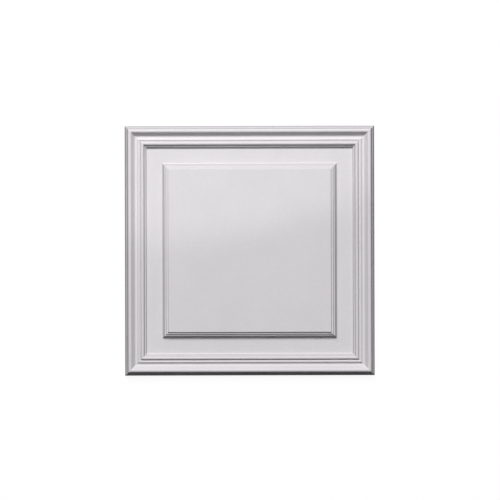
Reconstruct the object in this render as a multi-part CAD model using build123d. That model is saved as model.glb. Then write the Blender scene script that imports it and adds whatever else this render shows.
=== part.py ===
from build123d import *
import math
import os

# Square wall panel moulded in one piece: a moulded frame, a sunk field and a raised centre.
# It lies on its back with the face up: X is its width, Y its height on the wall, Z its depth.
# All sizes are in millimetres. Runs are measured across the face, from the outside inwards.

# Overall size
panel_width = 435.0
panel_height = 435.0
panel_depth = 18.0

# Outer edge: a low upright edge, a steep shoulder and a narrow ledge
edge_height = 0.8
edge_round = 0.4
shoulder_run = 2.8
shoulder_rise = 8.6
ledge_width = 0.6
ledge_round = 0.3

# Rim: a steep back, a rounded top and a flat crown that lies a little below the raised centre
rim_setdown = 0.4
rim_back_run = 3.2
rim_round = 4.0
rim_width = 4.3

# Cyma: the long S-curved slope from the rim down to the trough
cyma_run = 7.3
cyma_top_round = 3.4
cyma_foot_round = 4.0
trough_width = 2.9

# Small bead beside the trough
bead_foot_round = 1.6
bead_rise_run = 2.6
bead_rise = 2.4
bead_width = 1.35
bead_round = 1.0

# Quirk: the narrow groove between the small bead and the large one
quirk_run = 2.05
quirk_drop = 1.1
quirk_round = 0.25

# Large bead, which falls away towards the field
torus_rise_run = 2.25
torus_rise = 3.2
torus_back_round = 1.8
torus_width = 3.4
torus_front_round = 2.8
ovolo_run = 2.45
ovolo_drop = 4.2

# Fillet and foot of the frame
fillet_width = 1.35
fillet_round = 0.25
foot_run = 1.1
foot_drop = 4.2
foot_round = 2.8

# Sunk field between the frame and the raised centre
field_width = 27.75
field_thickness = 6.5

# Raised centre: a steep border with two narrow ledges
border_foot_round = 1.8
border_run = 4.4
first_ledge = 1.3
middle_run = 1.7
middle_rise = 2.3
second_ledge = 2.3
top_run = 0.95
top_rise = 2.4
border_round = 0.3
centre_margin = 3.0


def moulding_corners():
    # Sharp corners of the section as (distance from the outside, height above the back, rounding)
    rim_level = panel_depth - rim_setdown
    torus_level = field_thickness + foot_drop + ovolo_drop
    trough_level = torus_level - torus_rise + quirk_drop - bead_rise
    border_rise = panel_depth - field_thickness - middle_rise - top_rise
    members = [
        (0.0, edge_height, edge_round),
        (shoulder_run, shoulder_rise, ledge_round),
        (ledge_width, 0.0, ledge_round),
        (rim_back_run, rim_level - edge_height - shoulder_rise, rim_round),
        (rim_width, 0.0, cyma_top_round),
        (cyma_run, trough_level - rim_level, cyma_foot_round),
        (trough_width, 0.0, bead_foot_round),
        (bead_rise_run, bead_rise, bead_round),
        (bead_width, 0.0, bead_round),
        (quirk_run, -quirk_drop, quirk_round),
        (torus_rise_run, torus_rise, torus_back_round),
        (torus_width, 0.0, torus_front_round),
        (ovolo_run, -ovolo_drop, fillet_round),
        (fillet_width, 0.0, fillet_round),
        (foot_run, -foot_drop, foot_round),
        (field_width, 0.0, border_foot_round),
        (border_run, border_rise, border_round),
        (first_ledge, 0.0, border_round),
        (middle_run, middle_rise, border_round),
        (second_ledge, 0.0, border_round),
        (top_run, top_rise, border_round),
    ]
    corners = [(0.0, 0.0, 0.0)]
    for run, rise, rounding in members:
        last_out, last_level, _ = corners[-1]
        corners.append((last_out + run, last_level + rise, rounding))
    return corners


def fitted_round(before, corner, after):
    # A rounding no larger than half of each of its two runs allows
    here = Vector(*corner[:2])
    back = Vector(*before[:2]) - here
    ahead = Vector(*after[:2]) - here
    half_opening = math.radians(back.get_angle(ahead)) / 2
    room = min(back.length, ahead.length) / 2
    return min(corner[2], room * math.tan(half_opening))


corners = moulding_corners()
border_width = corners[-1][0] + centre_margin
centre_thickness = corners[-1][1]
corners.append((border_width, centre_thickness, 0.0))
corners.append((border_width, 0.0, 0.0))

roundings = [
    fitted_round(corners[i - 1], corner, corners[(i + 1) % len(corners)])
    for i, corner in enumerate(corners)
]

section = make_face(
    FilletPolyline(*[corner[:2] for corner in corners], radius=roundings, close=True)
)


def mitred_side(length):
    # One side of the frame along Y with its outer edge at X = 0, cut to the mitre at both ends
    bar = extrude(Plane.XZ * section, amount=length / 2, both=True)
    mitre = Polyline(
        (0, -length / 2),
        (0, length / 2),
        (border_width, length / 2 - border_width),
        (border_width, border_width - length / 2),
        close=True,
    )
    return bar & extrude(make_face(mitre), amount=panel_depth)


left = Pos(X=-panel_width / 2) * mitred_side(panel_height)
bottom = Pos(Y=-panel_height / 2) * Rot(Z=90) * mitred_side(panel_width)
right = Rot(Z=180) * left
top = Rot(Z=180) * bottom

centre = Box(
    panel_width - 2 * border_width,
    panel_height - 2 * border_width,
    centre_thickness,
    align=(Align.CENTER, Align.CENTER, Align.MIN),
)

wall_panel = centre + [left, bottom, right, top]

os.makedirs("parts", exist_ok=True)
export_step(wall_panel, "parts/wall_panel.step")
print("volume in litres", round(wall_panel.volume / 1e6, 4))
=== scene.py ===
import math
import bmesh
import bpy
from mathutils import Matrix, Vector


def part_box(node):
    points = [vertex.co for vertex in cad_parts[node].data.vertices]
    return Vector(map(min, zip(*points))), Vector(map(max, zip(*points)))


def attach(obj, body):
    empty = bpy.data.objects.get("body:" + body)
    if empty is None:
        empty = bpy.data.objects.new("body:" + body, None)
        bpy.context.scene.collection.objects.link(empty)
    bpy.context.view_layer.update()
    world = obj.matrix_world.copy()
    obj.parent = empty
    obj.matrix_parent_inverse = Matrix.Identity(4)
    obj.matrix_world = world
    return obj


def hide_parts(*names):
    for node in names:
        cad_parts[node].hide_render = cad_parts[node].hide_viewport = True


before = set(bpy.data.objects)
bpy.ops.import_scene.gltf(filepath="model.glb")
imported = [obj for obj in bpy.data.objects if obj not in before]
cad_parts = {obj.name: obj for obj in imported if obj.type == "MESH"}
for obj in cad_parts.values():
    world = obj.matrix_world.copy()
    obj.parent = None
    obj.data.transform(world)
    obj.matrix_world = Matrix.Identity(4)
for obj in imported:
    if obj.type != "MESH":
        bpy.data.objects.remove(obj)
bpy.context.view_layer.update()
mm = 0.001
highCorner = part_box("wall_panel")[1]
halfWidth = highCorner.x
print("frame loaded: panel", round(2 * halfWidth / mm), "mm square,", round(highCorner.z / mm, 1), "mm deep")


def linear(hexColour):  # sRGB hex to the linear colour that sockets take
    channels = [int(hexColour[i:i + 2], 16) / 255 for i in (1, 3, 5)]
    curve = [c / 12.92 if c <= 0.04045 else ((c + 0.055) / 1.055) ** 2.4 for c in channels]
    return (*curve, 1.0)


def addNode(tree, kind, settings=None, inputs=None, links=None):  # one node, set up and wired
    node = tree.nodes.new(kind)
    for key, value in (settings or {}).items():
        setattr(node, key, value)
    for key, value in (inputs or {}).items():
        node.inputs[key].default_value = value
    for key, socket in (links or {}).items():
        tree.links.new(socket, node.inputs[key])
    return node


def newMaterial(name):
    material = bpy.data.materials.new(name)
    material.use_nodes = True
    material.node_tree.nodes.clear()
    return material, material.node_tree


# Primed polyurethane: rigid foam cast in a smooth mould and sprayed with white primer.
# The spray gives a satin sheen, a faint orange peel and a slightly uneven white. Steep sides are drawn
# greyer in the base colour, a painted shade.
primer = {
    "white": "#DEDBDE", "thinWhite": "#DAD7DA",
    "sprayRange": (0.12, 0.38),             # cloud times speck, from thin spray to full cover
    "paintedShadeGrey": "#C0BDC0",                # painted shade: steep sides drawn greyer, standing in for their shading
    "steepFrom": 34.0, "steepTo": 58.0,     # degrees of slope
    "roughness": (0.52, 0.58),
    "cloudRange": (0.3, 0.7),               # the part of the clouds that changes the roughness
    "ior": 1.5, "gloss": 0.15,
    "cloud": (60.0, 3.0, 0.5),              # size in mm, detail and roughness of each noise
    "speck": (4.0, 2.0, 0.5),
    "peel": (2.4, 1.0, 0.4),                # coarser than real peel so that it shows
    "peelHeight": 0.004,                    # mm
}


def primedPolyurethane():
    material, tree = newMaterial("primed_polyurethane")
    coords = addNode(tree, "ShaderNodeTexCoord").outputs
    noise = {}
    for name in ("cloud", "speck", "peel"):
        size, detail, roughness = primer[name]
        noise[name] = addNode(tree, "ShaderNodeTexNoise",
                              inputs={"Scale": 1 / (size * mm), "Detail": detail, "Roughness": roughness},
                              links={"Vector": coords["Object"]}).outputs["Fac"]
    spray = addNode(tree, "ShaderNodeMath", {"operation": "MULTIPLY"},
                    links={0: noise["cloud"], 1: noise["speck"]})
    colour = addNode(tree, "ShaderNodeValToRGB", links={"Fac": spray.outputs[0]})
    for i, shade in enumerate(("thinWhite", "white")):
        colour.color_ramp.elements[i].position = primer["sprayRange"][i]
        colour.color_ramp.elements[i].color = linear(primer[shade])
    # painted shade: the base colour turns greyer as the slope grows from steepFrom to steepTo degrees
    upward = addNode(tree, "ShaderNodeSeparateXYZ", links={"Vector": coords["Normal"]})
    slopeShade = addNode(tree, "ShaderNodeMapRange",
                    inputs={"From Min": math.cos(math.radians(primer["steepFrom"])),
                            "From Max": math.cos(math.radians(primer["steepTo"]))},
                    links={"Value": upward.outputs["Z"]})
    # the spray's uneven white, mixed with the painted shade of the steep sides
    sprayAndSlopeShade = addNode(tree, "ShaderNodeMix", {"data_type": "RGBA"},
                   inputs={7: linear(primer["paintedShadeGrey"])},    # 6 and 7 are the two colours, 2 the result
                   links={0: slopeShade.outputs["Result"], 6: colour.outputs["Color"]})
    sheen = addNode(tree, "ShaderNodeMapRange",
                    inputs={"From Min": primer["cloudRange"][0], "From Max": primer["cloudRange"][1],
                            "To Min": primer["roughness"][0], "To Max": primer["roughness"][1]},
                    links={"Value": noise["cloud"]})
    bump = addNode(tree, "ShaderNodeBump",
                   inputs={"Strength": 1.0, "Distance": primer["peelHeight"] * mm},
                   links={"Height": noise["peel"]})
    surface = addNode(tree, "ShaderNodeBsdfPrincipled",
                      inputs={"IOR": primer["ior"], "Specular IOR Level": primer["gloss"]},
                      links={"Base Color": sprayAndSlopeShade.outputs[2], "Roughness": sheen.outputs["Result"],
                             "Normal": bump.outputs["Normal"]})
    addNode(tree, "ShaderNodeOutputMaterial", links={"Surface": surface.outputs["BSDF"]})
    return material


# Planed foam: the back of the casting, milled flat and left bare for the glue.
# Bare foam is matt and a little creamier than the primer, with fine open pores.
foam = {
    "cream": "#E4DFD3", "pore": "#CFC8B8",
    "poreRange": (0.08, 0.3),               # from the middle of a pore outwards, in pore sizes
    "roughness": 0.85, "ior": 1.45,
    "poreSize": 1.6, "poreDepth": 0.15,     # mm, coarser than real pores so that they show
    "planeMark": 9.0,                       # mm between the cutter's passes
    "markWaver": 0.6, "markHeight": 0.15,   # how far the passes stray, and their share of the relief
}


def planedFoam():
    material, tree = newMaterial("planed_polyurethane_foam")
    place = addNode(tree, "ShaderNodeTexCoord").outputs["Object"]
    waveTurn = 20.0                         # radians a metre, for a wave texture of scale 1
    pores = addNode(tree, "ShaderNodeTexVoronoi",
                    inputs={"Scale": 1 / (foam["poreSize"] * mm)}, links={"Vector": place})
    marks = addNode(tree, "ShaderNodeTexWave", {"bands_direction": "Y"},
                    inputs={"Scale": 2 * math.pi / (waveTurn * foam["planeMark"] * mm),
                            "Distortion": foam["markWaver"]},
                    links={"Vector": place})
    colour = addNode(tree, "ShaderNodeValToRGB", links={"Fac": pores.outputs["Distance"]})
    for i, shade in enumerate(("pore", "cream")):
        colour.color_ramp.elements[i].position = foam["poreRange"][i]
        colour.color_ramp.elements[i].color = linear(foam[shade])
    ridges = addNode(tree, "ShaderNodeMath", {"operation": "MULTIPLY_ADD"}, inputs={1: foam["markHeight"]},
                     links={0: marks.outputs["Fac"], 2: pores.outputs["Distance"]})
    bump = addNode(tree, "ShaderNodeBump",
                   inputs={"Strength": 1.0, "Distance": foam["poreDepth"] * mm},
                   links={"Height": ridges.outputs[0]})
    surface = addNode(tree, "ShaderNodeBsdfPrincipled",
                      inputs={"IOR": foam["ior"], "Roughness": foam["roughness"]},
                      links={"Base Color": colour.outputs["Color"], "Normal": bump.outputs["Normal"]})
    addNode(tree, "ShaderNodeOutputMaterial", links={"Surface": surface.outputs["BSDF"]})
    return material


# Moulded panel: the members of the section follow each other from the outside inwards.
# Each is its run across the face, its rise and the rounding at its end, in mm.
moulding = {
    "arcSegments": 8,
    "arcShare": 0.49,                       # the most of a run that the arc at one end takes
    "weld": 0.001,                          # mm
    "sharpAngle": 40.0,                     # degrees, past which an edge stays sharp
    "flatWeight": 100,                      # wide faces lead the shading, so that flats stay flat
    "members": {
        "edge": (0.0, 0.8, 0.4),
        "shoulder": (2.8, 8.6, 0.3),
        "ledge": (0.6, 0.0, 0.3),
        "rimBack": (3.2, 8.2, 4.0),
        "rimCrown": (4.3, 0.0, 3.4),
        "cyma": (7.3, -7.2, 4.0),
        "trough": (2.9, 0.0, 1.6),
        "beadRise": (2.6, 2.4, 1.0),
        "beadCrown": (1.35, 0.0, 1.0),
        "quirk": (2.05, -1.1, 0.25),
        "torusRise": (2.25, 3.2, 1.8),
        "torusCrown": (3.4, 0.0, 2.8),
        "ovolo": (2.45, -4.2, 0.25),
        "fillet": (1.35, 0.0, 0.25),
        "foot": (1.1, -4.2, 2.8),
        "field": (27.75, 0.0, 1.8),
        "border": (4.4, 6.8, 0.3),
        "firstLedge": (1.3, 0.0, 0.3),
        "middleRise": (1.7, 2.3, 0.3),
        "secondLedge": (2.3, 0.0, 0.3),
        "topRise": (0.95, 2.4, 0.3),
        "centreMargin": (3.0, 0.0, 0.0),
    },
}


def setback(corner, rounding):  # how far an arc of that radius reaches along the two runs
    ends = [edge.other_vert(corner).co - corner.co for edge in corner.link_edges]
    reach = rounding * mm / math.tan(ends[0].angle(ends[1]) / 2)
    return min(reach, moulding["arcShare"] * min(end.length for end in ends))


def mouldedPanel():
    weld = moulding["weld"] * mm
    bm = bmesh.new()
    last = bm.verts.new((halfWidth, 0, 0))
    corners = []
    for run, rise, rounding in moulding["members"].values():
        corner = bm.verts.new(last.co + Vector((-run * mm, 0, rise * mm)))
        bm.edges.new((last, corner))
        corners.append((corner, rounding))
        last = corner
    reaches = [(corner, setback(corner, rounding)) for corner, rounding in corners if rounding > 0]
    for corner, reach in reaches:
        bmesh.ops.bevel(bm, geom=[corner], offset=reach, offset_type="OFFSET", profile=0.5,
                        segments=moulding["arcSegments"], affect="VERTICES", material=-1)
    toMitre = Matrix.Identity(4)
    toMitre[1][0] = 1.0                     # y follows x, so the section lies on the mitre
    bmesh.ops.transform(bm, matrix=toMitre, verts=bm.verts)
    bmesh.ops.spin(bm, geom=bm.verts[:] + bm.edges[:], axis=(0, 0, 1), cent=(0, 0, 0),
                   angle=2 * math.pi, steps=4, use_merge=True)  # a step for each side
    bmesh.ops.remove_doubles(bm, verts=bm.verts, dist=weld)
    rims = [edge for edge in bm.edges if edge.is_boundary]
    bmesh.ops.holes_fill(bm, edges=rims, sides=4)               # the back and the middle of the centre
    bmesh.ops.recalc_face_normals(bm, faces=bm.faces)
    bm.verts.index_update()
    ranked = sorted(bm.faces, key=lambda face: sorted(vert.index for vert in face.verts))
    rank = {face: i for i, face in enumerate(ranked)}
    bm.faces.sort(key=rank.get)             # spin lists the faces in another order each run
    for face in bm.faces:
        face.smooth = True
        face.material_index = int(face.calc_center_median().z < weld)   # bare foam on the back alone
    for edge in bm.edges:
        a, b = [vert.co for vert in edge.verts]
        onMitre = all(abs(abs(p.x) - abs(p.y)) < weld for p in (a, b))
        sameCorner = a.x * b.x > 0 and a.y * b.y > 0
        turn = edge.calc_face_angle(0.0)
        edge.smooth = not ((onMitre and sameCorner) or turn > math.radians(moulding["sharpAngle"]))
    mesh = bpy.data.meshes.new("moulded_panel")
    bm.to_mesh(mesh)
    bm.free()
    panel = bpy.data.objects.new("moulded_panel", mesh)
    bpy.context.scene.collection.objects.link(panel)
    mesh.materials.append(primedPolyurethane())
    mesh.materials.append(planedFoam())
    flats = panel.modifiers.new("flat faces stay flat", "WEIGHTED_NORMAL")
    flats.keep_sharp = True
    flats.weight = moulding["flatWeight"]
    return panel


panel = mouldedPanel()
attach(panel, "root")
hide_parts("wall_panel")
print("panel moulded:", len(panel.data.polygons), "faces")


# Studio: pale floor and a camera straight above. The key lamp stands beyond the top edge of the panel,
# a spot brightens the top half and a side lamp near the top left corner fades towards the lower right.
# Lengths are in mm, angles in degrees and powers in watts, the key's for a square metre.
studio = {
    "floorSize": 8000.0, "floorDrop": 0.2,  # the drop keeps the floor clear of the back
    "floorGrey": "#4A494A", "floorGlow": 0.95, "floorTint": "#FFFEFF",
    "cameraHeight": 6000.0, "cameraAim": (0.6, 1.1), "cameraRoll": -0.144,
    "sensor": 36.0, "photoWidth": 871.8,    # the photo's width at the panel's back
    "keyTilt": 40.0, "keyTurn": 3.0, "keySpread": 20.0, "keyStrength": 2.89,
    "spotTurn": 10.1, "spotEdge": -3.0,     # where the edge of the lit half crosses the panel
    "spotReach": 900.0, "spotHeight": 2400.0,
    "spotSoft": 0.12, "spotSize": 30.0, "spotPower": 33.0,
    "sidePlace": (-600.0, 1000.0, 900.0), "sideSize": 120.0, "sidePower": 17.0,
    "ambientWhite": "#FFFFFF", "ambient": 0.05,
}


def studioLamp(name, kind, place, **settings):
    lamp = bpy.data.lights.new(name, kind)
    for key, value in settings.items():
        setattr(lamp, key, value)
    holder = bpy.data.objects.new(name, lamp)
    holder.matrix_world = place
    bpy.context.scene.collection.objects.link(holder)


def paleFloor():
    bm = bmesh.new()
    bmesh.ops.create_grid(bm, x_segments=1, y_segments=1, size=studio["floorSize"] * mm / 2)
    bmesh.ops.translate(bm, vec=(0, 0, -studio["floorDrop"] * mm), verts=bm.verts)
    mesh = bpy.data.meshes.new("floor")
    bm.to_mesh(mesh)
    bm.free()
    floor = bpy.data.objects.new("floor", mesh)
    bpy.context.scene.collection.objects.link(floor)
    material, tree = newMaterial("pale_floor")
    rays = addNode(tree, "ShaderNodeLightPath").outputs
    seen = rays["Is Camera Ray"]
    for ray in ("Is Glossy Ray", "Is Transmission Ray"):
        seen = addNode(tree, "ShaderNodeMath", {"operation": "MAXIMUM"},
                       links={0: seen, 1: rays[ray]}).outputs[0]
    paint = addNode(tree, "ShaderNodeBsdfDiffuse", inputs={"Color": linear(studio["floorGrey"])})
    glow = addNode(tree, "ShaderNodeEmission",
                   inputs={"Color": linear(studio["floorTint"]), "Strength": studio["floorGlow"]})
    white = addNode(tree, "ShaderNodeAddShader", links={0: paint.outputs[0], 1: glow.outputs[0]})
    mix = addNode(tree, "ShaderNodeMixShader",
                  links={0: seen, 1: paint.outputs[0], 2: white.outputs[0]})
    addNode(tree, "ShaderNodeOutputMaterial", links={"Surface": mix.outputs[0]})
    mesh.materials.append(material)


paleFloor()
studioLamp("key", "SUN",
           Matrix.Rotation(math.radians(studio["keyTurn"]), 4, "Z") @
           Matrix.Rotation(math.radians(-studio["keyTilt"]), 4, "X"),
           energy=studio["keyStrength"], angle=math.radians(studio["keySpread"]))
spotPlace = Vector((0, studio["spotEdge"] + studio["spotReach"], studio["spotHeight"])) * mm
studioLamp("spot", "SPOT",
           Matrix.Rotation(math.radians(studio["spotTurn"]), 4, "Z") @ Matrix.Translation(spotPlace),
           energy=studio["spotPower"], spot_blend=studio["spotSoft"],
           shadow_soft_size=studio["spotSize"] * mm,
           spot_size=2 * math.atan(studio["spotReach"] / studio["spotHeight"]))
studioLamp("side", "POINT", Matrix.Translation(Vector(studio["sidePlace"]) * mm),
           energy=studio["sidePower"], shadow_soft_size=studio["sideSize"] * mm)
world = bpy.data.worlds.new("dim studio")
world.use_nodes = True
background = world.node_tree.nodes["Background"].inputs
background["Color"].default_value = linear(studio["ambientWhite"])
background["Strength"].default_value = studio["ambient"]
bpy.context.scene.world = world
print("floor and lamps set")

lens = bpy.data.cameras.new("camera")
lens.sensor_width = studio["sensor"]
lens.lens = studio["sensor"] * studio["cameraHeight"] / studio["photoWidth"]
camera = bpy.data.objects.new("camera", lens)
camera.location = Vector((*studio["cameraAim"], studio["cameraHeight"])) * mm
camera.rotation_euler = (0, 0, math.radians(studio["cameraRoll"]))
bpy.context.scene.collection.objects.link(camera)
bpy.context.scene.camera = camera
bpy.context.scene.view_settings.view_transform = "Standard"
print("camera set")
